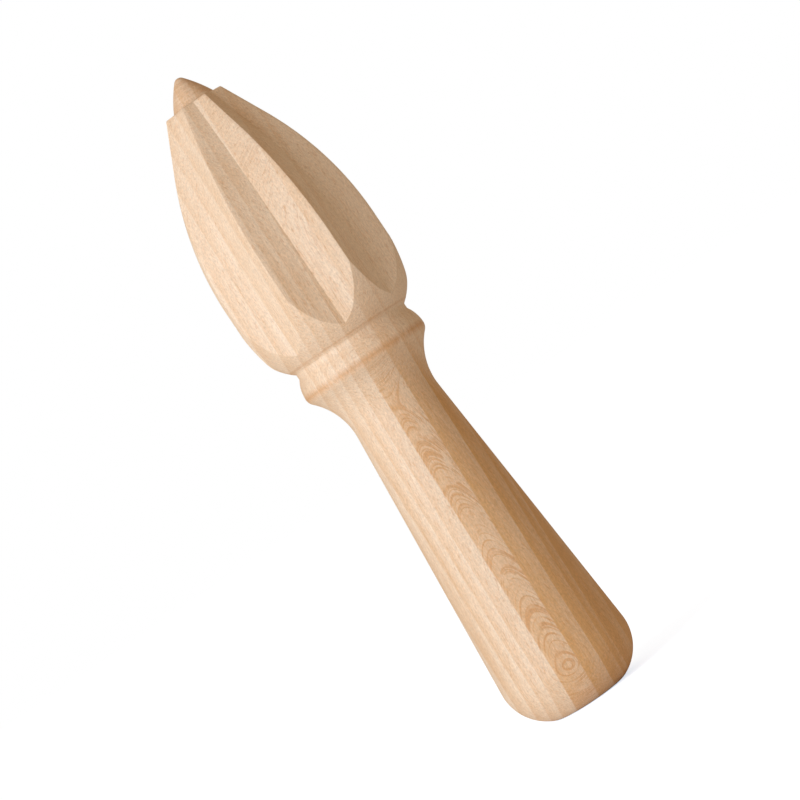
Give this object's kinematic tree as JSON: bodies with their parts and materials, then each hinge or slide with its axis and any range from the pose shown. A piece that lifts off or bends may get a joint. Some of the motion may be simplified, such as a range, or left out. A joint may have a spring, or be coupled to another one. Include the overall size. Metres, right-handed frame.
{
  "type": "citrus reamer",
  "caption": "Solid wooden citrus reamer: a tapered round handle with a flat end, a slim waist and a bead, and a ridged juicing head that narrows to a small pointed tip.",
  "frame": {"origin": "middle of the flat face at the handle's end, on which the reamer stands", "axes": "+Z along the axis from the handle's end to the tip; -Y through the root of one flute"},
  "size_m": [0.039, 0.039, 0.1648],
  "materials": {
    "beech": "bare, fine-sanded, unvarnished"
  },
  "bodies": {
    "root": {"reamer": "beech"}
  },
  "joints": []
}
